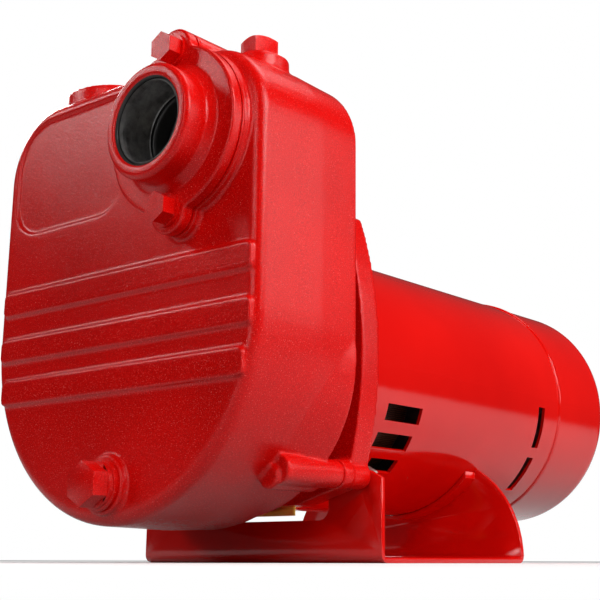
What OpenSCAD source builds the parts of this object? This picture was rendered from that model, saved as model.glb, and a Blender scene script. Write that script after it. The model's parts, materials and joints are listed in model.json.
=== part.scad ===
// Self-priming centrifugal pump on a pressed steel base, driven by a capacitor start motor.
// The suction side faces -Y, the motor lies along +Y, and the base stands on z = 0.

/* [Base] */
// Half of the base's width
base_half_w = 96.6; // [92:0.2:104]
// Depth of the base, from its front wall to its rear wall
base_depth = 152; // [146:1:156]
// Thickness of the base's steel sheet
sheet = 3; // [2.5:0.1:3.5]
// Spacing of the mounting slots across the base
slot_pitch_x = 140; // [120:1:150]
// Spacing of the mounting slots along the base
slot_pitch_y = 100; // [90:1:110]
// Width of a mounting slot
slot_w = 10; // [8:0.5:12]
// Length of a mounting slot
slot_len = 18; // [14:0.5:22]

/* [Motor] */
// Height of the shaft above the ground
axis_z = 114.5; // [113:0.5:116]
// Outer radius of the motor's shell
shell_r = 82.5; // [82:0.1:83]
// Thickness of the shell's sheet
shell_t = 2.2; // [1.8:0.1:2.5]
// Length of the shell, from the bracket to its rear seam
shell_len = 233.5; // [228:0.5:240]
// Length of the rear cover behind the seam
cover_len = 75; // [72:0.5:80]
// Radius of the rounded edge of the rear cover
cover_edge = 14; // [10:0.5:18]
// Radius of the shaft
shaft_r = 8; // [7:0.1:8]

/* [Pump case] */
// Half of the case's width
case_half_w = 108.9; // [105:0.1:112]
// Depth of the case, from its flat face to its back
case_depth = 79; // [76:0.5:82]
// Height of the case's top above the ground
case_top_z = 273.5; // [270:0.5:277]
// Radius of the case's upper corners
case_corner = 45; // [40:0.5:50]
// Radius of the edge around the flat face
case_edge = 7; // [4:0.5:8]
// Thickness of the case's walls
wall = 6; // [5:0.5:6.5]

/* [Ports] */
// Distance of the suction port from the middle, to the right
suction_x = 53.3; // [50:0.1:55]
// Height of the suction port above the ground
suction_z = 225; // [223:0.5:227]
// Radius of both ports' threaded bores
port_bore_r = 23.6; // [22:0.1:24]
// Outer radius of the suction hub
hub_r = 31.8; // [31:0.1:33]
// Distance from the suction port to each flange bolt
flange_bolt_d = 45; // [44:0.5:46]
// Distance of the discharge port from the middle, to the left
discharge_x = 52; // [50:0.5:54]
// Height of the discharge boss's rim above the ground
discharge_top_z = 282; // [280:0.5:285]

/* [Hidden] */
$fn = 96;

// Overlap that joins solids of one node
eps = 0.02;
// Gap left between round pieces that stay together
fit_gap = 0.1;

// Stations along the motor's axis, front to back
base_front_y = -base_depth / 2;
base_rear_y = base_depth / 2;
plate_t = 16;
plate_front_y = base_front_y - plate_t;
case_back_y = base_front_y - 36.3;
case_face_y = case_back_y - case_depth;
parting_y = base_front_y - 67;
seam_y = base_front_y + shell_len;
cover_end_y = seam_y + cover_len;
lug_face_y = base_front_y - 24;

// Pump case
bottom_z = 126.5;
corner_x = case_half_w - case_corner;
corner_z = case_top_z - case_corner;
case_draft = 1;
inner_face_y = case_face_y + wall;
inner_back_y = case_back_y - wall;
back_hole_r = 62.5;
// Rubber ring that seals the bracket's spigot in the case's back wall
seal_ring_r = 1.4;
seal_ring_y = case_back_y - wall / 2;
channel_y = inner_face_y + 14;
partition_t = 4;
eye_r = 20;

// Bands on the case's face stand out by band_h, and the panel is sunk by panel_depth.
// Each band is its centre height, its half height and its left and right ends.
band_h = 2;
panel_depth = 1.6;
bands = [[150.6, 6.9, -101.4, 104.4], [122.1, 6.8, -101.4, 104.4], [96.9, 7.1, -98, 100]];

// Suction flange
pad_y = case_face_y - 4.6;
gasket_y = pad_y - 1;
flange_y = gasket_y - 7;
hub_y = flange_y - 18;
flange_r = 47;
ear_r = 13;
bolt_r = 4;

// Check flapper
pin_z = suction_z + 31;
pin_y = inner_face_y + 5;
flapper_y = inner_face_y + 0.3;
flapper_r = 27;
pin_r = 1.5;

// Plugs
prime_x = 72;
prime_y = base_front_y - 80;
prime_seat_z = case_top_z + 1.3;
drain_x = 1;
drain_z = 40;

// Bolts between the case and the bracket: the lower pair also holds the base
low_bolt = [82, 47.6];
high_bolt = [70, 185];
case_bolt_r = 3.3;

// Circles of the motor's face bolts and of its through bolts
face_r = 74.6;
through_r = 74;

// Rotating parts
impeller_y = -150;
impeller_r = 52;
core_front_y = -5;
core_rear_y = 80;
stator_bore_r = 48.5;
rotor_r = 48;
front_bearing_y = -71;
rear_bearing_y = 146;
bearing_ball_r = 2.8;

// --- helpers -------------------------------------------------------------

// Extrudes an outline drawn in x and z between two stations along Y
module along_y(y0, y1) {
  translate([0, y1, 0]) rotate([90, 0, 0]) linear_extrude(y1 - y0) children();
}

// Solid round bar along Y at a point in x and z
module rod_y(y0, y1, r, at = [0, axis_z]) {
  translate([at[0], y0, at[1]]) rotate([-90, 0, 0]) cylinder(h = y1 - y0, r = r);
}

// Tube along Y at a point in x and z
module tube_y(y0, y1, r_out, r_in, at = [0, axis_z]) {
  difference() {
    rod_y(y0, y1, r_out, at);
    rod_y(y0 - 1, y1 + 1, r_in, at);
  }
}

// Cone along Y at a point in x and z
module cone_y(y0, y1, r0, r1, at = [0, axis_z]) {
  translate([at[0], y0, at[1]]) rotate([-90, 0, 0]) cylinder(h = y1 - y0, r1 = r0, r2 = r1);
}

// Hexagonal bar along Y, with its size across flats and a flat on each side
module hex_y(y0, y1, flats, at = [0, axis_z]) {
  translate([at[0], y0, at[1]]) rotate([-90, 0, 0]) rotate([0, 0, 30])
    cylinder(h = y1 - y0, r = flats / sqrt(3), $fn = 6);
}

// Turns a profile of radius and height about the motor's axis, with height along +Y
module turned_y() {
  translate([0, 0, axis_z]) rotate([-90, 0, 0]) rotate_extrude() children();
}

// Point in x and z at a radius and an angle around the motor's axis
function around(r, a) = [r * cos(a), axis_z + r * sin(a)];

// Repeats its children on both sides of the middle plane
module both_sides() {
  children();
  mirror([1, 0, 0]) children();
}

// --- pump case -----------------------------------------------------------

// Section of the case's rim: radius across, distance towards the front upwards
module rim_section(r, h0, h1, edge, draft) {
  front_r = r - draft;
  polygon([[0, h0], [r - draft, h0], [r, max(h0, min(h1 - edge, -parting_y))],
           [front_r, h1 - edge], [0, h1 - edge]]);
  if (edge > 0) {
    translate([0, h1 - edge - eps]) square([front_r - edge, edge + eps]);
    intersection() {
      translate([front_r - edge, h1 - edge]) circle(edge);
      translate([0, h1 - edge - eps]) square([front_r, edge + eps]);
    }
  }
}

// Rim of a round corner, turned about a centre in x and z
module rim_disc(at, r, h0, h1, edge, draft) {
  translate([at[0], 0, at[1]]) rotate([90, 0, 0]) rotate_extrude()
    rim_section(r, h0, h1, edge, draft);
}

// Solid with the case's outline, inset from it by a wall
module case_blank(inset, y_front, y_back, edge, draft) {
  h0 = -y_back;
  h1 = -y_front;
  rim_disc([0, bottom_z], case_half_w - inset, h0, h1, edge, draft);
  both_sides() rim_disc([corner_x, corner_z], case_corner - inset, h0, h1, edge, draft);
  both_sides() translate([0, 0, bottom_z]) linear_extrude(corner_z - bottom_z)
    mirror([0, 1]) rim_section(case_half_w - inset, h0, h1, edge, draft);
  translate([-corner_x, 0, corner_z]) rotate([180, -90, 0]) linear_extrude(2 * corner_x)
    rim_section(case_corner - inset, h0, h1, edge, draft);
}

// Outline shared by the suction flange, its gasket and the case's pad
module flange_outline() {
  circle(flange_r);
  for (side = [-1, 1]) {
    translate([0, side * flange_bolt_d]) circle(ear_r);
    translate([-ear_r, side * flange_bolt_d / 2 - flange_bolt_d / 2]) square([2 * ear_r, flange_bolt_d]);
  }
}

module at_suction() {
  translate([suction_x, 0, suction_z]) children();
}

// Long rounded band across the face
module band_outline(z, half_h, x0, x1) {
  end_r = 3;
  translate([x0, z - half_h + end_r]) square([x1 - x0, 2 * half_h - 2 * end_r]);
  translate([x0 + end_r, z - half_h]) square([x1 - x0 - 2 * end_r, 2 * half_h]);
  for (x = [x0 + end_r, x1 - end_r], side = [-1, 1])
    translate([x, z + side * (half_h - end_r)]) circle(end_r);
}

// Recessed panel at the upper left of the face
module panel_outline() {
  x0 = -98.6;
  x1 = 1;
  z0 = 193;
  z1 = 264.3;
  low_r = 21.5;
  top_r = 29;
  end_r = 6;
  difference() {
    translate([x0, z0]) square([x1 - x0, z1 - z0]);
    translate([x0, z0]) square(low_r);
    translate([x0, z1 - top_r]) square(top_r);
    translate([x1 - low_r, z0]) square(low_r);
    translate([x1 - end_r, z1 - end_r]) square(end_r);
  }
  translate([x0 + low_r, z0 + low_r]) circle(low_r);
  translate([x0 + top_r, z1 - top_r]) circle(top_r);
  translate([x1 - low_r, z0 + low_r]) circle(low_r);
  translate([x1 - end_r, z1 - end_r]) circle(end_r);
}

// Passage from the suction chamber down to the impeller's eye
module channel_outline(grow) {
  channel_r = 27 + grow;
  neck_half_w = 22 + grow;
  translate([0, axis_z]) circle(channel_r);
  polygon([[-neck_half_w, axis_z + 4], [neck_half_w, axis_z - 4], [suction_x + neck_half_w, 200],
           [suction_x - neck_half_w, 206]]);
}

// Walls inside the case: the suction chamber, its floor and the passage's cover
module case_partitions() {
  chamber_x = 12;
  chamber_z = 190;
  intersection() {
    case_blank(wall - 1, case_face_y + 1, case_back_y - 1, 0, 0);
    union() {
      translate([chamber_x - partition_t, inner_face_y - 1, chamber_z - partition_t])
        cube([partition_t, inner_back_y - inner_face_y + 2, 90]);
      difference() {
        translate([chamber_x - partition_t, inner_face_y - 1, chamber_z - partition_t])
          cube([110, inner_back_y - inner_face_y + 2, partition_t]);
        along_y(inner_face_y, channel_y) channel_outline(0);
      }
      difference() {
        along_y(inner_face_y - 1, channel_y + partition_t) channel_outline(partition_t);
        along_y(inner_face_y - 2, channel_y) channel_outline(0);
        translate([chamber_x, inner_face_y - 2, chamber_z]) cube([110, 60, 90]);
        rod_y(inner_face_y, channel_y + 10, eye_r + 0.4);
      }
    }
  }
}

// Ears that hold the flapper's pin
module flapper_ears() {
  ear_half = 12;
  ear_t = 4;
  for (side = [-1, 1])
    translate([suction_x + side * ear_half - ear_t / 2, inner_face_y - 1, pin_z - 4])
      cube([ear_t, 10, 12]);
}

// Bolt lugs at the lower corners, each with a lower web that joins it to the flank
module case_lugs() {
  lug_r = 8;
  lug_front_y = -146;
  web_r = 6.8;
  web_at = [76.5, 44];
  both_sides() {
    rod_y(lug_front_y, lug_face_y, lug_r, low_bolt);
    rod_y(lug_front_y - 1.5, case_back_y, web_r, web_at);
  }
}

// Lower corners of the case's rear half, which flare out towards the bracket
module case_flares() {
  flare_x = 23.9;
  flare_z = 108.5;
  front_r = 78.5;
  rear_r = 84.4;
  both_sides() cone_y(parting_y - 3, case_back_y, front_r, rear_r, [flare_x, flare_z]);
}

module pump_case() color("red") {
  boss_r = 33;
  discharge_y = base_front_y - 76;
  difference() {
    union() {
      difference() {
        union() {
          case_blank(0, case_face_y, case_back_y, case_edge, case_draft);
          case_flares();
          case_lugs();
          for (b = bands) along_y(case_face_y - band_h, case_face_y + eps) band_outline(b[0], b[1], b[2], b[3]);
          at_suction() along_y(pad_y, case_face_y + eps) flange_outline();
          rod_y(pad_y, case_face_y + 23, ear_r, [suction_x, suction_z + flange_bolt_d]);
          rod_y(case_face_y - 4, case_face_y + eps, 16, [drain_x, drain_z]);
          translate([-discharge_x, discharge_y, case_top_z - 14])
            cylinder(h = discharge_top_z - case_top_z + 14, r = boss_r);
          translate([prime_x, prime_y, case_top_z - 14]) cylinder(h = prime_seat_z - case_top_z + 14, r = 17);
        }
        case_blank(wall, inner_face_y, inner_back_y, 0, 0);
      }
      case_partitions();
      flapper_ears();
      rod_y(case_face_y + 1, inner_face_y + 12, 9, [suction_x, suction_z - flange_bolt_d]);
      rod_y(case_face_y + 1, inner_face_y + 8, 15, [drain_x, drain_z]);
      both_sides() rod_y(inner_back_y - 14, case_back_y, 10, high_bolt);
    }
    along_y(case_face_y - panel_depth, case_face_y + panel_depth) panel_outline();
    at_suction() along_y(pad_y - 1, inner_face_y + eps) circle(port_bore_r - 2);
    for (side = [-1, 1])
      rod_y(pad_y - 1, case_face_y + 18, bolt_r, [suction_x, suction_z + side * flange_bolt_d]);
    translate([-discharge_x, discharge_y, case_top_z - 20]) cylinder(h = 60, r = port_bore_r);
    translate([prime_x, prime_y, case_top_z - 20]) cylinder(h = 60, r = 10.6);
    rod_y(case_face_y - 10, inner_face_y + 20, 7.1, [drain_x, drain_z]);
    rod_y(inner_back_y - 1, case_back_y + 1, back_hole_r);
    both_sides() {
      rod_y(-140, case_back_y + 20, case_bolt_r, low_bolt);
      rod_y(inner_back_y - 12, case_back_y + 1, case_bolt_r, high_bolt);
    }
    translate([suction_x - 16, pin_y, pin_z]) rotate([0, 90, 0]) cylinder(h = 32, r = pin_r);
  }
}

module bracket_o_ring() color("black") {
  turned_y() translate([back_hole_r - seal_ring_r - 0.05, seal_ring_y]) circle(seal_ring_r);
}

// --- motor bracket -------------------------------------------------------

// Outline of the bracket's plate, with bulging flanks and feet around the lower bolts
module plate_outline() {
  bulge_r = 250;
  half_w = 95.8;
  bulge_z = 118;
  top_z = 206;
  intersection() {
    translate([bulge_r - half_w, bulge_z]) circle(bulge_r, $fn = 360);
    translate([half_w - bulge_r, bulge_z]) circle(bulge_r, $fn = 360);
    union() {
      polygon([[-110, low_bolt[1]], [110, low_bolt[1]], [110, top_z - 30], [84, top_z - 8], [60, top_z],
               [-60, top_z], [-84, top_z - 8], [-110, top_z - 30]]);
      polygon([[-low_bolt[0], low_bolt[1] - 6], [-48, axis_z - shell_r], [48, axis_z - shell_r],
               [low_bolt[0], low_bolt[1] - 6], [low_bolt[0], 100], [-low_bolt[0], 100]]);
    }
  }
  for (side = [-1, 1]) translate([side * low_bolt[0], low_bolt[1]]) circle(7.6);
}

module motor_bracket() color("firebrick") {
  ring_out = 66;
  ring_in = 58;
  spigot_y = inner_back_y - 2;
  difference() {
    union() {
      along_y(plate_front_y, base_front_y) plate_outline();
      rod_y(case_back_y, plate_front_y + eps, ring_out);
      rod_y(spigot_y, case_back_y + eps, back_hole_r - fit_gap);
      both_sides() {
        rod_y(lug_face_y, plate_front_y + eps, 8.5, low_bolt);
        rod_y(case_back_y, plate_front_y + eps, 9, high_bolt);
      }
    }
    rod_y(case_back_y + 3, base_front_y + 1, ring_in);
    rod_y(spigot_y - 1, case_back_y + 4, 13);
    rod_y(spigot_y - 1, spigot_y + 4, 20);
    turned_y() translate([back_hole_r - 2 * seal_ring_r - 0.1, seal_ring_y - seal_ring_r - 0.2])
      square([4, 2 * seal_ring_r + 0.4]);
    for (a = [90, 270]) translate([0, 0, axis_z]) rotate([0, a, 0])
      translate([40, case_back_y + 6, -24]) cube([60, 11, 48]);
    for (a = [45:90:315])
      rod_y(plate_front_y - 1, base_front_y + 1, 5, around(face_r, a));
    both_sides() {
      rod_y(lug_face_y - 1, base_front_y + 1, case_bolt_r + 0.2, low_bolt);
      rod_y(case_back_y - 1, base_front_y + 1, case_bolt_r + 0.2, high_bolt);
    }
  }
}

// Hex bolts along Y: head at the back, shank towards the front
module rear_headed_bolt(at, head_y, tip_y, r, flats, head_h) {
  rod_y(tip_y, head_y + eps, r, at);
  hex_y(head_y, head_y + head_h, flats, at);
}

module case_bolts() color("silver") {
  shank_r = case_bolt_r - 0.15;
  both_sides() {
    rear_headed_bolt(low_bolt, base_front_y + sheet, -136, shank_r, 11, 5);
    rear_headed_bolt(high_bolt, base_front_y, inner_back_y - 8, shank_r, 11, 5);
  }
}

module face_bolts() color("silver") {
  for (a = [45:90:315]) {
    rod_y(plate_front_y - eps, base_front_y + 9, 4.7, around(face_r, a));
    hex_y(plate_front_y - 6, plate_front_y, 14, around(face_r, a));
  }
}

// --- suction side --------------------------------------------------------

module suction_flange() color("red") {
  root = 4;
  difference() {
    union() {
      at_suction() along_y(flange_y, gasket_y) flange_outline();
      rod_y(hub_y + 2, flange_y + eps, hub_r, [suction_x, suction_z]);
      cone_y(hub_y, hub_y + 2 + eps, hub_r - 2, hub_r, [suction_x, suction_z]);
      cone_y(flange_y - root, flange_y + eps, hub_r, hub_r + root, [suction_x, suction_z]);
    }
    rod_y(hub_y - 1, gasket_y + 1, port_bore_r, [suction_x, suction_z]);
    cone_y(hub_y - eps, hub_y + 2, port_bore_r + 2, port_bore_r - 0.1, [suction_x, suction_z]);
    for (side = [-1, 1])
      rod_y(flange_y - 1, gasket_y + 1, bolt_r + 0.4, [suction_x, suction_z + side * flange_bolt_d]);
  }
}

module suction_gasket() color("black") {
  difference() {
    at_suction() along_y(gasket_y, pad_y) flange_outline();
    rod_y(gasket_y - 1, pad_y + 1, port_bore_r, [suction_x, suction_z]);
    for (side = [-1, 1])
      rod_y(gasket_y - 1, pad_y + 1, bolt_r + 0.4, [suction_x, suction_z + side * flange_bolt_d]);
  }
}

module flange_bolts() color("red") {
  for (side = [-1, 1]) {
    at = [suction_x, suction_z + side * flange_bolt_d];
    rod_y(flange_y - eps, case_face_y + 14, bolt_r - 0.1, at);
    rod_y(flange_y - 1.6, flange_y, 9.5, at);
    hex_y(flange_y - 9.4, flange_y - 1.6 + eps, 14.5, at);
  }
}

module check_flapper() color("dimgray") {
  arm_half = 9;
  knuckle_r = 3.4;
  difference() {
    union() {
      rod_y(flapper_y, flapper_y + 4, flapper_r, [suction_x, suction_z]);
      translate([suction_x - arm_half, flapper_y, suction_z]) cube([2 * arm_half, 4, pin_z - suction_z]);
      translate([suction_x - arm_half, pin_y, pin_z]) rotate([0, 90, 0])
        cylinder(h = 2 * arm_half, r = knuckle_r);
    }
    translate([suction_x - 20, pin_y, pin_z]) rotate([0, 90, 0]) cylinder(h = 40, r = pin_r + 0.06);
    rod_y(flapper_y - 1, flapper_y + 5, 2.6, [suction_x, suction_z]);
  }
}

module flapper_weight() color("gray") {
  tube_y(flapper_y + 4, flapper_y + 9, 17, 2.6, [suction_x, suction_z]);
}

module flapper_rivet() color("goldenrod") {
  rod_y(flapper_y - 1.4, flapper_y, 5, [suction_x, suction_z]);
  rod_y(flapper_y - eps, flapper_y + 9 + eps, 2.5, [suction_x, suction_z]);
  rod_y(flapper_y + 9, flapper_y + 10.5, 5, [suction_x, suction_z]);
}

module flapper_pin() color("silver") {
  translate([suction_x - 15.5, pin_y, pin_z]) rotate([0, 90, 0]) cylinder(h = 31, r = pin_r - 0.02);
}

// --- hydraulics ----------------------------------------------------------

// Round housing with guide vanes around the impeller and a nozzle into the passage
module diffuser() color("lightgray") {
  out_r = 61.5;
  front_y = channel_y + partition_t + 4;
  difference() {
    union() {
      tube_y(front_y, inner_back_y - 3.4, out_r, out_r - 3.5);
      tube_y(front_y, front_y + 4, out_r - 1, eye_r - 4);
      tube_y(channel_y - 2, front_y + eps, eye_r - 0.2, eye_r - 4);
      tube_y(front_y + 4 - eps, impeller_y + 4, eye_r + 3, eye_r);
      for (a = [0:60:300]) translate([0, 0, axis_z]) rotate([0, a, 0])
        translate([impeller_r + 1.5, front_y + 2, -2]) cube([out_r - impeller_r - 3, 20, 4]);
    }
    for (a = [30:60:330]) translate([0, 0, axis_z]) rotate([0, a, 0])
      translate([out_r - 6, front_y + 10, -9]) cube([12, 12, 18]);
    turned_y() translate([eye_r - 1.6, channel_y]) square([3, 3]);
  }
}

module diffuser_o_ring() color("black") {
  turned_y() translate([eye_r - 0.6, channel_y + 1.5]) circle(0.9);
}

module wear_ring() color("goldenrod") {
  tube_y(impeller_y + 0.6, impeller_y + 4, eye_r - 0.1, eye_r - 3.4);
}

// Closed impeller: two shrouds with curved vanes between them
module impeller() color("peru") {
  back_y = impeller_y + 20;
  vane_r = 44;
  difference() {
    union() {
      tube_y(impeller_y + 6, impeller_y + 8.5, impeller_r, eye_r - 6);
      tube_y(impeller_y + 1.4, impeller_y + 6.2, eye_r - 3.6, eye_r - 6);
      rod_y(back_y - 3, back_y, impeller_r);
      rod_y(impeller_y + 10, back_y + 5, 11.5);
      intersection() {
        tube_y(impeller_y + 8, back_y - 2, impeller_r - 0.5, 16);
        for (a = [0:60:300]) translate([0, 0, axis_z]) rotate([0, a, 0])
          translate([0, 0, vane_r / 2]) translate([vane_r / 2, 0, 0])
            tube_y(impeller_y + 8, back_y - 2, vane_r - 8, vane_r - 11, [0, 0]);
      }
    }
    rod_y(impeller_y + 12, back_y + 6, shaft_r);
  }
}

module seal_cup() color("black") {
  spigot_y = inner_back_y - 2;
  tube_y(spigot_y, spigot_y + 3.9, 19.9, 16);
}

module seal_seat() color("ivory") {
  spigot_y = inner_back_y - 2;
  tube_y(spigot_y - 1, spigot_y + 3.8, 15.9, shaft_r + 1);
}

module seal_head() color("dimgray") {
  seat_y = inner_back_y - 3.05;
  tube_y(seat_y - 3, seat_y, 14.5, shaft_r + 0.1);
}

// Short coil spring behind the seal's head, drawn as its rings
module seal_spring() color("silver") {
  seat_y = inner_back_y - 6;
  turned_y() for (i = [0:1]) translate([13, seat_y - 1.3 - 2.1 * i]) circle(0.9);
}

module slinger() color("black") {
  tube_y(-104, -101, 16, shaft_r + 0.1);
}

// --- rotor ---------------------------------------------------------------

module shaft() color("silver") {
  rod_y(impeller_y + 13, front_bearing_y, shaft_r);
  rod_y(front_bearing_y - eps, front_bearing_y + 14, 10);
  rod_y(front_bearing_y + 14 - eps, rear_bearing_y - 4, 11);
  rod_y(rear_bearing_y - 4 - eps, rear_bearing_y + 12, 8.5);
}

module rotor_core() color("gray") {
  difference() {
    rod_y(core_front_y, core_rear_y, rotor_r);
    rod_y(core_front_y - 1, core_rear_y + 1, 11);
    for (a = [0:30:330])
      rod_y(core_front_y - 1, core_rear_y + 1, 3, [26 * cos(a), axis_z + 26 * sin(a)]);
  }
}

// Cast end rings of the rotor with their cooling blades
module rotor_fans() color("lightgray") {
  ring_out = 46;
  blade_h = 12;
  for (end = [[core_front_y - 8, core_front_y, core_front_y - 8 - blade_h],
              [core_rear_y, core_rear_y + 8, core_rear_y + 8]]) {
    tube_y(end[0], end[1], ring_out, 32);
    for (a = [0:45:315]) translate([0, 0, axis_z]) rotate([0, a, 0])
      translate([34, end[2] - eps, -1]) cube([10, blade_h + 2 * eps, 2]);
  }
}

module governor() color("silver") {
  tube_y(112, 116, 26, 11.1);
  tube_y(116 - eps, 126, 17, 11.1);
  for (side = [-1, 1]) translate([side * 21 - 4, 104, axis_z - 7]) cube([8, 8 + eps, 14]);
}

module switch_plunger() color("white") {
  translate([-5, 126.3, axis_z + 12.2]) cube([10, 13, 4.5]);
}

module start_switch() color("saddlebrown") {
  difference() {
    translate([-16, 134, axis_z + 10]) cube([32, 11.9, 30]);
    translate([-5.3, 133, axis_z + 9]) cube([10.6, 11.5, 8]);
  }
}

// --- motor ---------------------------------------------------------------

// Ventilation holes at both lower sides of the shell
module shell_vents() {
  rows = [[19, 30, 65], [31.6, 28, 63], [43.6, 34, 61]];
  for (side = [0, 1], row = rows)
    translate([0, 0, axis_z]) rotate([0, side * 180 + (side == 0 ? row[0] : -row[0]), 0])
      translate([shell_r - 8, base_front_y + row[1], -5.2]) cube([16, row[2] - row[1], 10.4]);
}

// Narrow slots around the shell, close to the rear seam
module shell_slots() {
  slot_y = seam_y - 25.5;
  slot_half_w = 4.2;
  for (side = [0, 1], mid = [15, 40.5])
    intersection() {
      tube_y(slot_y - slot_half_w, slot_y + slot_half_w, shell_r + 3, shell_r - 4);
      translate([0, 0, axis_z]) rotate([0, side == 0 ? mid : 180 - mid, 0])
        translate([shell_r - 30, slot_y - 10, -14.5]) cube([60, 20, 29]);
    }
}

module motor_shell() color("red") {
  difference() {
    tube_y(base_front_y, seam_y, shell_r, shell_r - shell_t);
    shell_vents();
    shell_slots();
  }
}

module stator_core() color("darkgray") {
  out_r = shell_r - shell_t - fit_gap;
  difference() {
    tube_y(core_front_y, core_rear_y, out_r, stator_bore_r);
    for (a = [0:15:345]) translate([0, 0, axis_z]) rotate([0, a, 0])
      translate([stator_bore_r + 2, core_front_y - 1, -2.2]) cube([13, core_rear_y - core_front_y + 2, 4.4]);
    for (a = [0:90:270]) rod_y(core_front_y - 1, core_rear_y + 1, 3.2, around(through_r, a));
  }
}

// Bundle of end turns with rounded edges
module winding(y0, y1) {
  edge = 5;
  in_r = stator_bore_r + 1.5;
  out_r = 69;
  turned_y() {
    translate([in_r, y0 + edge]) square([out_r - in_r, y1 - y0 - 2 * edge]);
    translate([in_r + edge, y0]) square([out_r - in_r - 2 * edge, y1 - y0]);
    for (r = [in_r + edge, out_r - edge], y = [y0 + edge, y1 - edge]) translate([r, y]) circle(edge);
  }
}

module front_winding() color("chocolate") {
  winding(core_front_y - 33, core_front_y);
}

module rear_winding() color("chocolate") {
  winding(core_rear_y, core_rear_y + 30);
}

// End bell with its bearing hub, spokes and rim
module end_bell(y0, y1, hub_y0, hub_y1, seat_y0, seat_y1, seat_r, hole_r) {
  rim_r = shell_r - shell_t - fit_gap;
  difference() {
    union() {
      tube_y(y0, y1, rim_r, rim_r - 9);
      rod_y(hub_y0, hub_y1, seat_r + 6);
      for (a = [0:45:315]) translate([0, 0, axis_z]) rotate([0, a, 0])
        translate([seat_r, y0, -6]) cube([rim_r - seat_r - 4, y1 - y0, 12]);
      for (a = [0:45:315]) rod_y(y0, y1, 9, around(70, a));
    }
    rod_y(seat_y0, seat_y1, seat_r);
    rod_y(hub_y0 - 1, hub_y1 + 1, hole_r);
    for (a = [0:90:270]) rod_y(y0 - 1, y1 + 1, 3.2, around(through_r, a));
  }
}

module front_end_bell() color("silver") {
  difference() {
    end_bell(base_front_y, base_front_y + 12, base_front_y, base_front_y + 21,
             front_bearing_y, front_bearing_y + 30, 23.6, 14.5);
    for (a = [45:90:315]) rod_y(base_front_y - 1, base_front_y + 9.5, 4.8, around(face_r, a));
  }
}

module rear_end_bell() color("silver") {
  end_bell(seam_y - 11.5, seam_y, rear_bearing_y, rear_bearing_y + 17,
           rear_bearing_y - 10, rear_bearing_y + 14, 20.1, 10);
}

module front_bearing_outer() color("silver") {
  tube_y(front_bearing_y, front_bearing_y + 14, 23.5, 19.6);
}

module front_bearing_inner() color("silver") {
  tube_y(front_bearing_y, front_bearing_y + 14, 13.9, 10);
}

// Balls, and the cage's ring with a finger between each pair of them
module ball_set(y0, w, pitch_r, ball_r, count) {
  ring_half = 1.1;
  step = 360 / count;
  for (i = [0:count - 1]) {
    at = around(pitch_r, i * step);
    translate([at[0], y0 + w / 2, at[1]]) sphere(ball_r, $fn = 32);
    rod_y(y0 + 1.5, y0 + w / 2, ring_half, around(pitch_r, (i + 0.5) * step));
  }
  tube_y(y0 + 1, y0 + w / 2 - ball_r - 0.3, pitch_r + ring_half + 0.3, pitch_r - ring_half - 0.3);
}

module front_bearing_balls() color("silver") {
  ball_set(front_bearing_y, 14, 16.75, bearing_ball_r, 9);
}

module rear_bearing_outer() color("silver") {
  tube_y(rear_bearing_y, rear_bearing_y + 12, 20, 17.4);
}

module rear_bearing_inner() color("silver") {
  tube_y(rear_bearing_y, rear_bearing_y + 12, 11.7, 8.5);
}

module rear_bearing_balls() color("silver") {
  ball_set(rear_bearing_y, 12, 14.55, bearing_ball_r, 8);
}

module wave_washer() color("silver") {
  tube_y(rear_bearing_y + 12.2, rear_bearing_y + 13.4, 19.8, 16);
}

module through_bolts() color("silver") {
  for (a = [0:90:270]) {
    rod_y(base_front_y + 2, seam_y + eps, 2.5, around(through_r, a));
    hex_y(seam_y, seam_y + 4, 8, around(through_r, a));
  }
}

// --- rear compartment ----------------------------------------------------

module terminal_board() color("black") {
  difference() {
    translate([-46, seam_y + 8, axis_z - 36]) cube([30, 4, 72]);
    rod_y(seam_y + 7, seam_y + 13, 3, [-31, axis_z]);
  }
  for (side = [-1, 1])
    rod_y(seam_y, seam_y + 8 + eps, 3.5, [-31, axis_z + side * 31]);
}

module terminals() color("goldenrod") {
  for (dx = [-7, 7], dz = [-21, -12, 12, 21])
    rod_y(seam_y + 12, seam_y + 19, 2.2, [-31 + dx, axis_z + dz]);
}

module voltage_selector() color("red") {
  rod_y(seam_y + 5, seam_y + 15, 2.9, [-31, axis_z]);
  rod_y(seam_y + 12.3, seam_y + 17, 6.5, [-31, axis_z]);
  translate([-32, seam_y + 16.9, axis_z - 6]) cube([2, 3, 12]);
}

module capacitor() color("dimgray") {
  translate([26, seam_y + 30, axis_z - 38]) cylinder(h = 76, r = 19);
  for (side = [-1, 1]) translate([26 + side * 6 - 3, seam_y + 29.5, axis_z + 38 - eps]) cube([6, 1, 9]);
}

module capacitor_clip() color("silver") {
  difference() {
    union() {
      translate([26, seam_y + 30, axis_z - 8]) cylinder(h = 16, r = 20.6);
      translate([30, seam_y, axis_z - 8]) cube([10, 16, 16]);
    }
    translate([26, seam_y + 30, axis_z - 9]) cylinder(h = 18, r = 19.1);
    translate([10, seam_y + 42, axis_z - 9]) cube([32, 12, 18]);
  }
}

module overload_protector() color("black") {
  rod_y(seam_y + 3, seam_y + 17, 14, [0, axis_z - 42]);
  rod_y(seam_y, seam_y + 3 + eps, 4, [0, axis_z - 42]);
}

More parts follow.
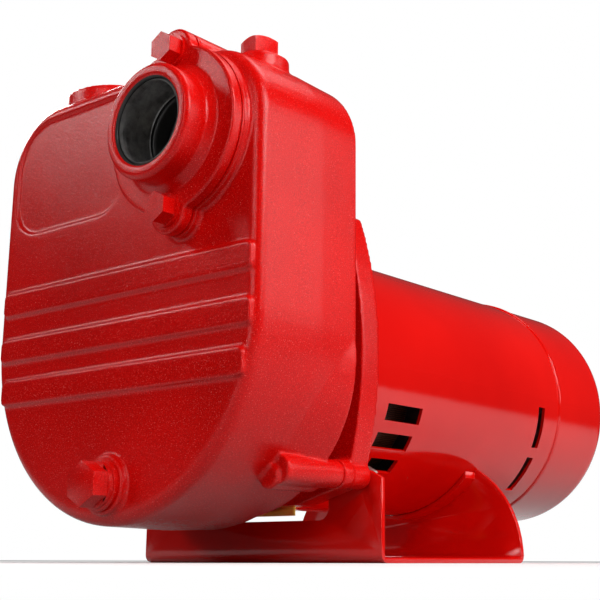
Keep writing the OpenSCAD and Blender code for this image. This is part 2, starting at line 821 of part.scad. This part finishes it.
module rear_cover() color("red") {
  cover_t = 2;
  conduit_y = seam_y + 40;
  in_edge = cover_edge - cover_t;
  difference() {
    union() {
      turned_y() {
        difference() {
          union() {
            translate([0, seam_y]) square([shell_r, cover_len - cover_edge]);
            translate([0, seam_y]) square([shell_r - cover_edge, cover_len]);
            intersection() {
              translate([shell_r - cover_edge, cover_end_y - cover_edge]) circle(cover_edge);
              translate([0, seam_y]) square([shell_r, cover_len]);
            }
          }
          translate([-1, seam_y - 1])
            square([shell_r - cover_t + 1, cover_len - cover_edge + 1]);
          translate([-1, seam_y - 1]) square([shell_r - cover_edge + 1, cover_len - cover_t + 1]);
          translate([shell_r - cover_edge, cover_end_y - cover_edge]) circle(in_edge);
        }
      }
      translate([-shell_r - 4, conduit_y, axis_z]) rotate([0, 90, 0]) cylinder(h = 12, r = 15);
    }
    translate([-shell_r - 5, conduit_y, axis_z]) rotate([0, 90, 0]) cylinder(h = 20, r = 10.6);
    for (a = [0, 180]) rod_y(cover_end_y - 5, cover_end_y + 1, 3.2, [0, axis_z + 60 * cos(a)]);
  }
}

// Long screws that hold the rear cover to the end bell
module cover_screws() color("silver") {
  for (side = [-1, 1]) {
    at = [0, axis_z + side * 60];
    rod_y(seam_y, cover_end_y + eps, 2.4, at);
    rod_y(cover_end_y, cover_end_y + 2.6, 5.5, at);
  }
}

// --- base ----------------------------------------------------------------

// Channel section in y and z: floor, two walls and their bends
module base_section() {
  bend = 5;
  wall_h = 80;
  difference() {
    union() {
      translate([base_front_y, bend]) square([base_depth, wall_h]);
      translate([base_front_y + bend, 0]) square([base_depth - 2 * bend, wall_h]);
      for (side = [-1, 1]) translate([side * (base_depth / 2 - bend), bend]) circle(bend);
    }
    translate([base_front_y + sheet, bend]) square([base_depth - 2 * sheet, wall_h + 1]);
    translate([base_front_y + bend, sheet]) square([base_depth - 2 * bend, wall_h]);
    for (side = [-1, 1]) translate([side * (base_depth / 2 - bend), bend]) circle(bend - sheet);
  }
}

// Front wall: chamfered corners, bolt slots and a low notch in the middle
module front_wall_outline() {
  top_z = 51;
  notch_x = 58;
  notch_z = 24;
  notch_r = 7;
  difference() {
    polygon([[-base_half_w, 0], [base_half_w, 0], [base_half_w, top_z - 4.4],
             [base_half_w - 8.6, top_z], [8.6 - base_half_w, top_z], [-base_half_w, top_z - 4.4]]);
    translate([-notch_x, notch_z + notch_r]) square([2 * notch_x, 60]);
    translate([notch_r - notch_x, notch_z]) square([2 * notch_x - 2 * notch_r, 60]);
    for (side = [-1, 1]) {
      translate([side * (notch_x - notch_r), notch_z + notch_r]) circle(notch_r);
      translate([side * low_bolt[0], low_bolt[1]]) circle(3.6);
      translate([side * low_bolt[0] - 3.6, low_bolt[1]]) square([7.2, 20]);
    }
  }
}

// Rear wall: curved flanks that rise to a saddle under the shell
module rear_wall_outline() {
  flank_r = 65;
  flank_z = 4.6;
  difference() {
    intersection() {
      union() {
        for (side = [-1, 1]) translate([side * (base_half_w - flank_r), flank_z]) circle(flank_r);
        translate([flank_r - base_half_w, 0]) square([2 * base_half_w - 2 * flank_r, 60]);
        translate([-base_half_w, 0]) square([2 * base_half_w, flank_z]);
      }
      translate([-base_half_w, 0]) square([2 * base_half_w, 80]);
    }
    translate([0, axis_z]) circle(shell_r + 0.3);
  }
}

module base() color("red") {
  lip_y = base_rear_y - 14;
  lip_r = shell_r + 0.3;
  difference() {
    union() {
      intersection() {
        translate([base_half_w, 0, 0]) rotate([90, 0, -90]) linear_extrude(2 * base_half_w)
          mirror([1, 0]) base_section();
        union() {
          translate([-base_half_w, base_front_y, -1]) cube([2 * base_half_w, base_depth, 6]);
          along_y(base_front_y, 0) front_wall_outline();
          along_y(0, base_rear_y) rear_wall_outline();
        }
      }
      intersection() {
        tube_y(lip_y, base_rear_y, lip_r + sheet, lip_r);
        translate([-62, lip_y - 1, 0]) cube([124, 20, 62]);
      }
    }
    for (sx = [-1, 1], sy = [-1, 1])
      translate([sx * slot_pitch_x / 2, sy * slot_pitch_y / 2, -1]) {
        translate([-(slot_len - slot_w) / 2, -slot_w / 2, 0]) cube([slot_len - slot_w, slot_w, 8]);
        for (end = [-1, 1]) translate([end * (slot_len - slot_w) / 2, 0, 0])
          cylinder(h = 8, r = slot_w / 2);
      }
  }
}

// Plain label on the underside of the shell
module base_label() color("yellow") {
  label_half_w = 28;
  intersection() {
    tube_y(base_front_y + 4, base_front_y + 25, shell_r + 0.3, shell_r);
    translate([-label_half_w, base_front_y, 0]) cube([2 * label_half_w, 30, 60]);
  }
}

module ground_screw() color("green") {
  rod_y(seam_y, seam_y + 6, 2.5, [-42, axis_z - 42]);
  hex_y(seam_y + 3, seam_y + 6, 9, [-42, axis_z - 42]);
}

// --- plugs ---------------------------------------------------------------

module priming_plug() color("red") {
  head_half = 7.6;
  head_turn = -13;
  head_h = 12;
  shank_len = 12;
  collar_h = 2.4;
  dome_r = 24;
  head_z = prime_seat_z + collar_h;
  translate([prime_x, prime_y, 0]) {
    translate([0, 0, prime_seat_z - shank_len]) cylinder(h = shank_len + eps, r = 10.5);
    translate([0, 0, prime_seat_z]) cylinder(h = collar_h, r = 11.8);
    rotate([0, 0, head_turn]) intersection() {
      translate([-head_half, -head_half, head_z - eps]) cube([2 * head_half, 2 * head_half, head_h]);
      translate([0, 0, head_z + head_h - dome_r]) sphere(dome_r);
    }
  }
}

module drain_plug() color("red") {
  seat_y = case_face_y - 4;
  rod_y(seat_y - eps, inner_face_y + 4, 7, [drain_x, drain_z]);
  rod_y(seat_y - 3, seat_y, 14, [drain_x, drain_z]);
  rod_y(seat_y - 5, seat_y - 3 + eps, 12.6, [drain_x, drain_z]);
  hex_y(seat_y - 14, seat_y - 5 + eps, 21, [drain_x, drain_z]);
}

pump_case();
bracket_o_ring();
motor_bracket();
case_bolts();
face_bolts();
suction_flange();
suction_gasket();
flange_bolts();
check_flapper();
flapper_weight();
flapper_rivet();
flapper_pin();
diffuser();
diffuser_o_ring();
wear_ring();
impeller();
seal_cup();
seal_seat();
seal_head();
seal_spring();
slinger();
shaft();
rotor_core();
rotor_fans();
governor();
switch_plunger();
start_switch();
priming_plug();
drain_plug();
motor_shell();
stator_core();
front_winding();
rear_winding();
front_end_bell();
rear_end_bell();
front_bearing_outer();
front_bearing_inner();
front_bearing_balls();
rear_bearing_outer();
rear_bearing_inner();
rear_bearing_balls();
wave_washer();
through_bolts();
terminal_board();
terminals();
voltage_selector();
capacitor();
capacitor_clip();
overload_protector();
rear_cover();
cover_screws();
base();
base_label();
ground_screw();
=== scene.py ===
"""Self-priming centrifugal pump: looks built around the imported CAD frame, in metres."""

import json
import math

import bmesh
import bpy
from mathutils import Matrix, Vector


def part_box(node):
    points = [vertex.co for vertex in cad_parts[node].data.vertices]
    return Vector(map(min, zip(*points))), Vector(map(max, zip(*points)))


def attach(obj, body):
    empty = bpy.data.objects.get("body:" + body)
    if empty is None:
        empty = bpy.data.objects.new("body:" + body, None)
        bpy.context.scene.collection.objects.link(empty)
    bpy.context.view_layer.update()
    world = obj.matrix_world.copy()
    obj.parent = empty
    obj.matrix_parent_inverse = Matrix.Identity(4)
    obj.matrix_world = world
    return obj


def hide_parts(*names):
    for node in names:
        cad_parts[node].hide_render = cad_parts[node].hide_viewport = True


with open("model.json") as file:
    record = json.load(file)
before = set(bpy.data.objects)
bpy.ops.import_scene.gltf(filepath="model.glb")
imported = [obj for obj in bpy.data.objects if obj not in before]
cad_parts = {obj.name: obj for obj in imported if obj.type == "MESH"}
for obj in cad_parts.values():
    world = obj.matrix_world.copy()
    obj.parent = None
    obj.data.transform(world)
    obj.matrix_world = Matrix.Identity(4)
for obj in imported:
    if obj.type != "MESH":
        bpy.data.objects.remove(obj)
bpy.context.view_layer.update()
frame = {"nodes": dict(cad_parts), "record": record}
NODES = frame["nodes"]
MM = 0.001

# ---------------------------------------------------------------- places

AXIS_Z = 0.1145
SUCTION = (0.0533, 0.225)          # x and z of the suction port's axis, which runs along Y
SUCTION_BACK_Y = -0.13             # near-black bare iron, partly painted shade, ends here, before the painted back of the case
DISCHARGE = (-0.052, -0.152)       # x and y of the discharge port's axis, which runs along Z
DISCHARGE_FOOT_Z = 0.2
DISCHARGE_RIM_Z = 0.282
PORT_R = 0.0236
BARE_AND_SHADE_R = 0.0246
SHELL_LOW, SHELL_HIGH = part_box("motor_shell")

# ---------------------------------------------------------------- materials

class Graph:
    """Short-hand for building one material's nodes."""

    def __init__(self, name):
        self.mat = bpy.data.materials.new(name)
        self.mat.use_nodes = True
        self.tree = self.mat.node_tree
        self.tree.nodes.clear()
        self.out = self.add("ShaderNodeOutputMaterial")
        self.shader = self.add("ShaderNodeBsdfPrincipled")
        self.link(self.shader.outputs[0], self.out.inputs["Surface"])
        self.coords = self.add("ShaderNodeTexCoord").outputs["Object"]

    def add(self, kind, **values):
        node = self.tree.nodes.new(kind)
        for key, value in values.items():
            if hasattr(node, key):
                setattr(node, key, value)
            else:
                node.inputs[key.replace("_", " ").title()].default_value = value
        return node

    def link(self, source, target):
        self.tree.links.new(source, target)

    def noise(self, scale, detail=4.0, rough=0.5):
        node = self.add("ShaderNodeTexNoise", scale=scale, detail=detail, roughness=rough)
        self.link(self.coords, node.inputs["Vector"])
        return node.outputs["Fac"]

    def ramp(self, source, stops):
        node = self.add("ShaderNodeValToRGB")
        points = node.color_ramp.elements
        while len(points) < len(stops):
            points.new(0.5)
        for point, (place, value) in zip(points, stops):
            point.position = place
            point.color = (*value, 1.0)
        self.link(source, node.inputs["Fac"])
        return node.outputs["Color"]

    def grey(self, source, low, high, start=0.0, stop=1.0):
        node = self.add("ShaderNodeMapRange")
        node.inputs["From Min"].default_value = start
        node.inputs["From Max"].default_value = stop
        node.inputs["To Min"].default_value = low
        node.inputs["To Max"].default_value = high
        self.link(source, node.inputs["Value"])
        return node.outputs["Result"]

    def math(self, operation, a, b):
        node = self.add("ShaderNodeMath", operation=operation)
        for socket, value in zip(node.inputs, (a, b)):
            if isinstance(value, (int, float)):
                socket.default_value = value
            else:
                self.link(value, socket)
        return node.outputs[0]

    def mix(self, share, first, second, blend="MIX"):
        """Blends two colours; each argument is a value or another node's output."""
        node = self.add("ShaderNodeMix", data_type="RGBA", blend_type=blend)
        share_socket, first_socket, second_socket, result_socket = 0, 6, 7, 2
        for index, value in ((share_socket, share), (first_socket, first), (second_socket, second)):
            if isinstance(value, (float, tuple)):
                node.inputs[index].default_value = value
            else:
                self.link(value, node.inputs[index])
        return node.outputs[result_socket]

    def bump(self, height, strength, distance, normal=None):
        node = self.add("ShaderNodeBump")
        node.inputs["Strength"].default_value = strength
        node.inputs["Distance"].default_value = distance
        self.link(height, node.inputs["Height"])
        if normal is not None:
            self.link(normal, node.inputs["Normal"])
        return node.outputs["Normal"]

    def surface(self, colour=None, roughness=None, normal=None, **plain):
        names = {"metallic": "Metallic", "coat": "Coat Weight",
                 "specular": "Specular IOR Level", "rough": "Roughness"}
        for source, name in ((colour, "Base Color"), (roughness, "Roughness"), (normal, "Normal")):
            if source is not None:
                self.link(source, self.shader.inputs[name])
        for key, value in plain.items():
            self.shader.inputs[names[key]].default_value = value
        if normal is not None:
            self.link(normal, self.shader.inputs["Coat Normal"])
        return self.mat


def bore_mask(g, u_axis, v_axis, centre, limit):
    """One inside a threaded bore and the chamber behind it, zero on the painted outside; it marks where
    near-black bare iron and painted shade go.
    """
    parts = g.add("ShaderNodeSeparateXYZ")
    g.link(g.coords, parts.inputs[0])
    du = g.math("SUBTRACT", parts.outputs[u_axis], centre[0])
    dv = g.math("SUBTRACT", parts.outputs[v_axis], centre[1])
    far = g.math("ADD", g.math("MULTIPLY", du, du), g.math("MULTIPLY", dv, dv))
    within = g.math("LESS_THAN", far, BARE_AND_SHADE_R ** 2)
    return g.math("MULTIPLY", within, g.math(limit[1], parts.outputs[limit[0]], limit[2]))


def cast_enamel():
    """Gloss red enamel over the fine grain of a sand casting, with pale specks at the grain's peaks as
    painted glints; the bores and the chamber behind them are bare iron coloured near black, partly the
    iron's own colour and partly painted shade.
    """
    g = Graph("cast_enamel")
    grain = g.noise(1700.0, 2.0, 0.7)
    pebble = g.noise(700.0, 2.0, 0.5)
    cloud = g.noise(14.0, 4.0, 0.5)
    red = g.ramp(cloud, [(0.30, (0.62, 0.0012, 0.0004)), (0.70, (0.76, 0.002, 0.001))])
    pits = g.ramp(grain, [(0.38, (0.70, 0.70, 0.70)), (0.52, (1.0, 1.0, 1.0))])
    paint = g.mix(1.0, red, pits, "MULTIPLY")
    # Pale specks where the grain peaks: painted glints, highlights put into the colour.
    painted_glint = (0.95, 0.42, 0.38, 1.0)
    # Near-black bare iron in the bores and the chamber: partly the iron's own colour, partly painted
    # shade.
    iron = (0.035, 0.033, 0.032, 1.0)
    bare = g.math("MAXIMUM", bore_mask(g, "X", "Z", SUCTION, ("Y", "LESS_THAN", SUCTION_BACK_Y)),
                  bore_mask(g, "X", "Y", DISCHARGE, ("Z", "GREATER_THAN", DISCHARGE_FOOT_Z)))
    colour = g.mix(bare, g.mix(g.grey(grain, 0.0, 0.45, 0.64, 0.74), paint, painted_glint), iron)
    height = g.math("ADD", g.math("MULTIPLY", grain, 0.7), g.math("MULTIPLY", pebble, 0.6))
    rough = g.grey(pebble, 0.14, 0.24, 0.3, 0.7)
    normal = g.bump(height, 0.42, 0.0004)
    normal = g.bump(cloud, 0.2, 0.002, normal)
    return g.surface(colour, rough, normal, specular=0.2)


def sheet_enamel():
    """Smooth gloss red enamel on sheet steel, with a faint orange peel."""
    g = Graph("sheet_enamel")
    peel = g.noise(420.0, 2.0, 0.5)
    wave = g.noise(22.0, 2.0, 0.5)
    cloud = g.noise(9.0, 3.0, 0.5)
    colour = g.ramp(cloud, [(0.30, (0.60, 0.002, 0.001)), (0.70, (0.72, 0.004, 0.002))])
    rough = g.grey(peel, 0.07, 0.13, 0.3, 0.7)
    normal = g.bump(peel, 0.05, 0.0003)
    normal = g.bump(wave, 0.05, 0.002, normal)
    return g.surface(colour, rough, normal, specular=0.4)


def plated_steel(name, tint, low, high):
    """Plated, turned or ground metal with a fine grain and cloudy tarnish."""
    g = Graph(name)
    fine = g.noise(1320.0, 3.0, 0.6)
    cloud = g.noise(66.0, 4.0, 0.6)
    dark = tuple(c * 0.72 for c in tint)
    colour = g.ramp(cloud, [(0.3, dark), (0.7, tint)])
    rough = g.grey(cloud, low, high, 0.3, 0.7)
    return g.surface(colour, rough, g.bump(fine, 0.12, 0.0002), metallic=1.0)


def dark_iron():
    """Bare machined cast iron, unevenly bright."""
    g = Graph("dark_iron")
    fine = g.noise(1500.0, 4.0, 0.6)
    cloud = g.noise(160.0, 4.0, 0.6)
    colour = g.ramp(cloud, [(0.3, (0.14, 0.135, 0.13)), (0.7, (0.42, 0.41, 0.40))])
    rough = g.grey(fine, 0.25, 0.42, 0.3, 0.7)
    return g.surface(colour, rough, g.bump(fine, 0.3, 0.0002), metallic=0.3)


def soft_rubber():
    """Black rubber with a dull, slightly rough skin."""
    g = Graph("soft_rubber")
    fine = g.noise(1100.0, 3.0, 0.6)
    colour = g.ramp(g.noise(60.0), [(0.3, (0.012, 0.012, 0.013)), (0.7, (0.03, 0.03, 0.032))])
    return g.surface(colour, g.grey(fine, 0.55, 0.8), g.bump(fine, 0.25, 0.0002))


def moulded(name, low_tint, high_tint, low, high, metallic=0.0):
    """Moulded, pressed or die-cast surface between two tints and two roughnesses."""
    g = Graph(name)
    fine = g.noise(800.0, 3.0, 0.55)
    colour = g.ramp(g.noise(40.0), [(0.3, low_tint), (0.7, high_tint)])
    return g.surface(colour, g.grey(fine, low, high), g.bump(fine, 0.15, 0.0002), metallic=metallic)


def laminations():
    """Stack of thin steel sheets seen on edge."""
    g = Graph("laminations")
    wave = g.add("ShaderNodeTexWave", wave_type="BANDS", bands_direction="Y")
    wave.inputs["Scale"].default_value = 320.0
    g.link(g.coords, wave.inputs["Vector"])
    colour = g.ramp(wave.outputs["Fac"], [(0.2, (0.05, 0.05, 0.055)), (0.8, (0.2, 0.2, 0.21))])
    return g.surface(colour, g.grey(g.noise(500.0), 0.4, 0.6),
                     g.bump(wave.outputs["Fac"], 0.3, 0.0002), metallic=0.8)


def copper_wire():
    """Magnet wire lying around the bundle, coloured near black so the vents look dark: partly a dark
    varnish, partly painted shade.
    """
    g = Graph("copper_wire")
    wave = g.add("ShaderNodeTexWave", wave_type="RINGS", rings_direction="Y")
    wave.inputs["Scale"].default_value = 260.0
    wave.inputs["Distortion"].default_value = 3.0
    g.link(g.coords, wave.inputs["Vector"])
    # Near-black wire colour: partly dark varnish, partly painted shade inside the vents.
    colour = g.ramp(wave.outputs["Fac"], [(0.15, (0.02, 0.006, 0.003)), (0.8, (0.13, 0.04, 0.015))])
    return g.surface(colour, g.grey(g.noise(300.0), 0.25, 0.45),
                     g.bump(wave.outputs["Fac"], 0.6, 0.0005), metallic=0.6, coat=0.4)


def label_film():
    """Plain yellow film without lettering."""
    g = Graph("label_film")
    colour = g.ramp(g.noise(30.0), [(0.3, (0.80, 0.58, 0.05)), (0.7, (0.90, 0.70, 0.12))])
    return g.surface(colour, g.grey(g.noise(400.0), 0.3, 0.45), g.bump(g.noise(300.0), 0.05, 0.0002))


MATERIALS = {
    "cast_paint": cast_enamel(),
    "sheet_paint": sheet_enamel(),
    "zinc_steel": plated_steel("zinc_steel", (0.62, 0.62, 0.58), 0.25, 0.42),
    "rubber": soft_rubber(),
    "bare_iron": dark_iron(),
    "lamination": laminations(),
    "brass": plated_steel("turned_brass", (0.78, 0.55, 0.22), 0.18, 0.34),
    "stainless": plated_steel("ground_stainless", (0.68, 0.68, 0.67), 0.16, 0.30),
    "moulded_plastic": moulded("moulded_plastic", (0.03, 0.03, 0.034), (0.06, 0.06, 0.066), 0.4, 0.6),
    "phenolic": moulded("phenolic", (0.03, 0.02, 0.015), (0.07, 0.045, 0.03), 0.3, 0.5),
    "red_plastic": moulded("red_plastic", (0.45, 0.02, 0.015), (0.6, 0.04, 0.02), 0.25, 0.4),
    "ceramic": moulded("lapped_ceramic", (0.75, 0.72, 0.64), (0.88, 0.86, 0.8), 0.1, 0.22),
    "carbon": moulded("lapped_carbon", (0.02, 0.02, 0.022), (0.05, 0.05, 0.055), 0.3, 0.45),
    "cast_aluminium": moulded("cast_aluminium", (0.42, 0.43, 0.44), (0.62, 0.63, 0.64), 0.35, 0.55, 0.9),
    "winding": copper_wire(),
    "bearing_steel": plated_steel("bearing_steel", (0.72, 0.72, 0.74), 0.06, 0.16),
    "label": label_film(),
    "green_steel": moulded("green_steel", (0.02, 0.2, 0.04), (0.04, 0.3, 0.07), 0.3, 0.5, 0.2),
}


def paint_cad_nodes():
    """Gives every CAD node the material of its slot; the gasket is painted over with the case."""
    flooded = {"suction_gasket": "cast_paint"}
    for part in frame["record"]["subparts"]:
        obj = NODES[part["node"]]
        obj.data.materials.clear()
        obj.data.materials.append(MATERIALS[flooded.get(part["node"], part["material_slot"])])


# ---------------------------------------------------------------- pieces

def fresh_object(name, bm):
    """Makes a smooth-shaded object of a bmesh and frees the bmesh."""
    mesh = bpy.data.meshes.new(name)
    bm.normal_update()
    bm.to_mesh(mesh)
    bm.free()
    for poly in mesh.polygons:
        poly.use_smooth = True
    obj = bpy.data.objects.new(name, mesh)
    bpy.context.scene.collection.objects.link(obj)
    return obj


def dress(obj, finish, body="pump"):
    """Gives a piece its finish and lets it ride its body."""
    obj.data.materials.clear()
    obj.data.materials.append(MATERIALS[finish])
    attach(obj, body)
    return obj


def baked(obj):
    """Applies all modifiers of an object to its mesh."""
    graph = bpy.context.evaluated_depsgraph_get()
    mesh = bpy.data.meshes.new_from_object(obj.evaluated_get(graph), depsgraph=graph)
    obj.modifiers.clear()
    obj.data = mesh
    return obj


def copied_node(node):
    """The welded geometry of a CAD node, free to be worked on."""
    bm = bmesh.new()
    bm.from_mesh(NODES[node].data)
    bmesh.ops.remove_doubles(bm, verts=bm.verts, dist=1e-6)
    return bm


def cast_copy(node, name, voxel, rounds):
    """A casting made from a CAD node: its edges are rounded, as sand moulding leaves them."""
    obj = fresh_object(name, copied_node(node))
    remesh = obj.modifiers.new("remesh", "REMESH")
    remesh.mode = "VOXEL"
    remesh.voxel_size = voxel * MM
    remesh.use_smooth_shade = True
    smooth = obj.modifiers.new("smooth", "SMOOTH")
    smooth.factor = 0.5
    smooth.iterations = rounds
    baked(obj)
    for poly in obj.data.polygons:
        poly.use_smooth = True
    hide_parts(node)
    return dress(obj, "cast_paint")


def revolved(name, profile, at, axis="Y", steps=96):
    """Turns (radius, height) points about an axis through a point; heights run along the axis."""
    bm = bmesh.new()
    rings = []
    for radius, height in profile:
        ring = []
        for i in range(steps):
            a = 2 * math.pi * i / steps
            u, v = radius * math.cos(a), radius * math.sin(a)
            if axis == "Y":
                place = (at[0] + u, height, at[1] + v)
            else:
                place = (at[0] + u, at[1] + v, height)
            ring.append(bm.verts.new(place))
        rings.append(ring)
    for a, b in zip(rings, rings[1:]):
        for i in range(steps):
            j = (i + 1) % steps
            bm.faces.new((a[i], a[j], b[j], b[i]))
    bmesh.ops.recalc_face_normals(bm, faces=bm.faces)
    return fresh_object(name, bm)


def threaded_sleeve(name, at, start, length, axis):
    """Bare thread rings that line a port, from its mouth inwards."""
    pitch, depth, radius = 2.2 * MM, 1.1 * MM, PORT_R
    profile = []
    turns = int(length / pitch)
    direction = 1 if axis == "Y" else -1
    for i in range(turns):
        base = start + direction * i * pitch
        profile += [(radius - depth, base), (radius - 0.04 * MM, base + direction * pitch * 0.5)]
    profile.append((radius - depth, start + direction * turns * pitch))
    return dress(revolved(name, profile, at, axis), "bare_iron")


def seam_bead():
    """Thin raised bead where the rear cover meets the shell."""
    y = SHELL_HIGH.y
    r = (SHELL_HIGH.x - SHELL_LOW.x) / 2
    lift = 1.0 * MM
    profile = [(r - 0.4 * MM, y - 1.5 * MM), (r + lift * 0.6, y - 1.1 * MM), (r + lift, y - 0.4 * MM),
               (r + lift * 0.55, y), (r + lift, y + 0.4 * MM), (r + lift * 0.6, y + 1.1 * MM),
               (r - 0.4 * MM, y + 1.5 * MM)]
    return dress(revolved("seam_bead", profile, (0, AXIS_Z), steps=180), "sheet_paint")


def loose_label():
    """Plain yellow label on the underside of the shell; its front edge has come loose and hangs down."""
    low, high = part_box("base_label")
    wide, hanging_z = high.x - low.x, 27.2 * MM
    front_y = low.y + 1.5 * MM
    stuck_part, flat_run = 0.6, 0.8
    bm = bmesh.new()
    bmesh.ops.create_grid(bm, x_segments=28, y_segments=28, size=0.5)
    for v in bm.verts:
        x = low.x + (v.co.x + 0.5) * wide
        along = v.co.y + 0.5
        hang = max(0.0, along - stuck_part) / (1.0 - stuck_part)
        stuck_z = AXIS_Z - math.sqrt((SHELL_HIGH.z - AXIS_Z + 0.2 * MM) ** 2 - x ** 2)
        y = high.y + (front_y - high.y) * min(1.0, along / flat_run)
        v.co = (x, y, stuck_z + (hanging_z - stuck_z) * hang)
    obj = fresh_object("loose_label", bm)
    thick = obj.modifiers.new("thick", "SOLIDIFY")
    thick.thickness = 0.3 * MM
    baked(obj)
    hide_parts("base_label")
    return dress(obj, "label")


def soft_edges(node, body):
    """A copy of a CAD node whose sharp edges are slightly rounded, as paint and bending leave them."""
    finish = next(p["material_slot"] for p in frame["record"]["subparts"] if p["node"] == node)
    bm = copied_node(node)
    bmesh.ops.dissolve_limit(bm, angle_limit=math.radians(4), verts=bm.verts, edges=bm.edges)
    obj = fresh_object(node + "_soft", bm)
    bevel = obj.modifiers.new("bevel", "BEVEL")
    bevel.width = 0.5 * MM
    bevel.segments = 2
    bevel.limit_method = "ANGLE"
    bevel.angle_limit = math.radians(35)
    bevel.use_clamp_overlap = True
    baked(obj)
    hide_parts(node)
    return dress(obj, finish, body)


# ---------------------------------------------------------------- stage

def camera():
    """Camera low in front of the suction port, tilted up, as the object was seen."""
    yaw, pitch, roll = -0.680, 0.239, 0.002
    data = bpy.data.cameras.new("camera")
    data.sensor_width = 36.0
    data.lens = 70.1448
    data.shift_x = -0.0778833
    data.shift_y = -0.0398333
    data.clip_end = 50.0
    cam = bpy.data.objects.new("camera", data)
    bpy.context.scene.collection.objects.link(cam)
    cam.location = (0.4965, -0.6018, 0.0012)
    ahead = Vector((math.sin(yaw) * math.cos(pitch), math.cos(yaw) * math.cos(pitch), math.sin(pitch)))
    right = ahead.cross(Vector((0, 0, 1))).normalized()
    up = right.cross(ahead)
    turn = Matrix((right, up, -ahead)).transposed()
    cam.rotation_euler = (turn @ Matrix.Rotation(roll, 3, "Z")).to_euler()
    bpy.context.scene.camera = cam


def area_light(name, place, target, size, power, size_y=None):
    """Soft light of a size in metres and a power in watts, facing a target."""
    data = bpy.data.lights.new(name, "AREA")
    data.energy = power
    data.size = size
    if size_y:
        data.shape = "RECTANGLE"
        data.size_y = size_y
    lamp = bpy.data.objects.new(name, data)
    bpy.context.scene.collection.objects.link(lamp)
    lamp.location = place
    lamp.rotation_euler = (Vector(target) - Vector(place)).to_track_quat("-Z", "Y").to_euler()


def stage():
    """Pale floor, pale surround and soft studio lights."""
    bm = bmesh.new()
    bmesh.ops.create_grid(bm, x_segments=4, y_segments=4, size=8.0)
    mesh = bpy.data.meshes.new("floor")
    bm.to_mesh(mesh)
    bm.free()
    floor = bpy.data.objects.new("floor", mesh)
    bpy.context.scene.collection.objects.link(floor)
    g = Graph("floor_white")
    bounce = g.add("ShaderNodeLightPath").outputs["Is Diffuse Ray"]
    g.surface(g.ramp(bounce, [(0.0, (0.92, 0.92, 0.92)), (1.0, (0.22, 0.22, 0.22))]), rough=0.6)
    floor.data.materials.append(g.mat)
    world = bpy.data.worlds.new("studio")
    bpy.context.scene.world = world
    world.use_nodes = True
    tree = world.node_tree
    seen = tree.nodes.new("ShaderNodeLightPath").outputs["Is Camera Ray"]
    glow = tree.nodes.new("ShaderNodeMapRange")
    glow.inputs["To Min"].default_value = 0.06
    glow.inputs["To Max"].default_value = 1.0
    tree.links.new(seen, glow.inputs["Value"])
    tree.links.new(glow.outputs["Result"], tree.nodes["Background"].inputs["Strength"])
    tree.nodes["Background"].inputs["Color"].default_value = (1, 1, 1, 1)
    bpy.context.scene.view_settings.view_transform = "Standard"
    area_light("key_right", (1.5, -0.15, 1.05), (0, -0.05, 0.14), 0.7, 28)
    area_light("side_right", (1.5, 0.9, 0.7), (0, 0.1, 0.12), 0.8, 9)
    area_light("strip_front", (0.22, -1.7, 0.6), (0, -0.1, 0.16), 0.12, 8, size_y=1.2)
    area_light("sheen_left", (-1.17, -0.99, 1.0), (0, -0.15, 0.2), 0.35, 6)
    area_light("rim_left", (-1.3, 0.4, 1.0), (0, -0.1, 0.2), 0.4, 6)
    area_light("top", (0.2, 0.5, 1.6), (0, 0.05, 0.1), 0.7, 6)


camera()
paint_cad_nodes()
cast_copy("pump_case", "case_casting", 1.0, 3)
cast_copy("motor_bracket", "bracket_casting", 1.0, 5)
cast_copy("suction_flange", "flange_casting", 0.8, 5)
suction_mouth_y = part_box("suction_flange")[0].y
threaded_sleeve("suction_threads", SUCTION, suction_mouth_y + 2.2 * MM, 24 * MM, "Y")
threaded_sleeve("discharge_threads", DISCHARGE, DISCHARGE_RIM_Z - 1 * MM, 14 * MM, "Z")
seam_bead()
loose_label()
for soft_node, soft_body in (("base", "pump"), ("priming_plug", "fill_plug"), ("drain_plug", "drain")):
    soft_edges(soft_node, soft_body)
stage()
